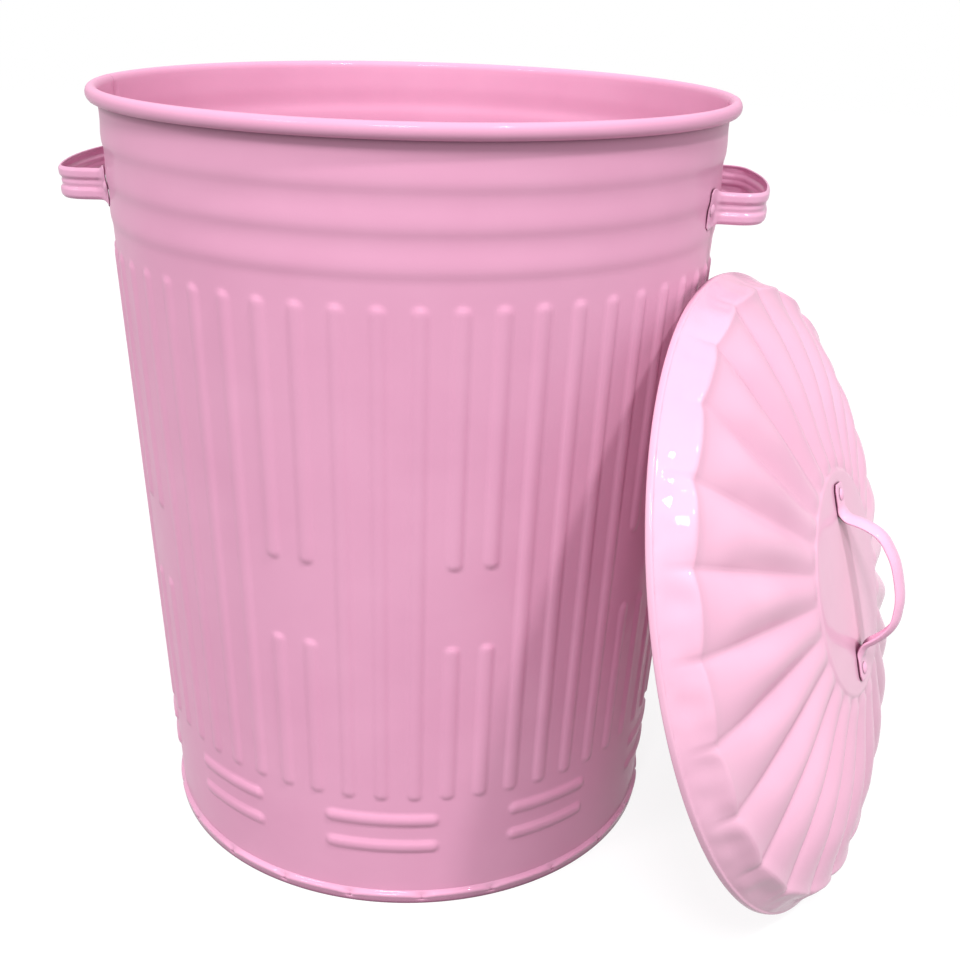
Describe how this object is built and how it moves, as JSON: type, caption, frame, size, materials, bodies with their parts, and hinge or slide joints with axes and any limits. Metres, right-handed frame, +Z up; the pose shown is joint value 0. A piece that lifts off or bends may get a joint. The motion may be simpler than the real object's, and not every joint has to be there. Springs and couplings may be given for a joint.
{
  "type": "dustbin with lift-off lid",
  "caption": "Round tapered steel dustbin with upright ribs, swage rings, a strap handle on each side, and a fluted lift-off lid leaning against it.",
  "frame": {"origin": "on the floor, under the middle of the whole part: the can with its lid leaning on it", "axes": "+Z up, along the can's axis; +X towards the side of the can's right handle, where the lid leans; -Y the front, as seen in the picture"},
  "size_m": [0.6518, 0.529, 0.5603],
  "materials": {
    "body_coat": "glossy pink powder coat over galvanised sheet steel",
    "hoop_coat": "glossy pink powder coat",
    "handle_coat": "glossy pink powder coat",
    "lid_coat": "glossy pink powder coat",
    "lid_handle_coat": "glossy pink powder coat",
    "rim_wire_zinc": "zinc-plated wire, hidden inside the rolled rim"
  },
  "bodies": {
    "can": {"body_panel_front": "body_coat", "body_panel_back": "body_coat", "rim_wire": "rim_wire_zinc", "base_plate": "body_coat", "base_hoop": "hoop_coat", "side_handle_left": "handle_coat", "side_handle_right": "handle_coat", "handle_rivet_left_front": "handle_coat", "handle_rivet_left_back": "handle_coat", "handle_rivet_right_front": "handle_coat", "handle_rivet_right_back": "handle_coat"},
    "lid": {"lid_shell": "lid_coat", "lid_handle": "lid_handle_coat", "lid_rivet_upper": "lid_handle_coat", "lid_rivet_lower": "lid_handle_coat"}
  },
  "joints": [
    {"name": "lid_lift", "type": "slide", "parent": "can", "child": "lid", "axis": [0.8817, -0.3743, 0.2874], "range_m": [0, 0.3]}
  ]
}
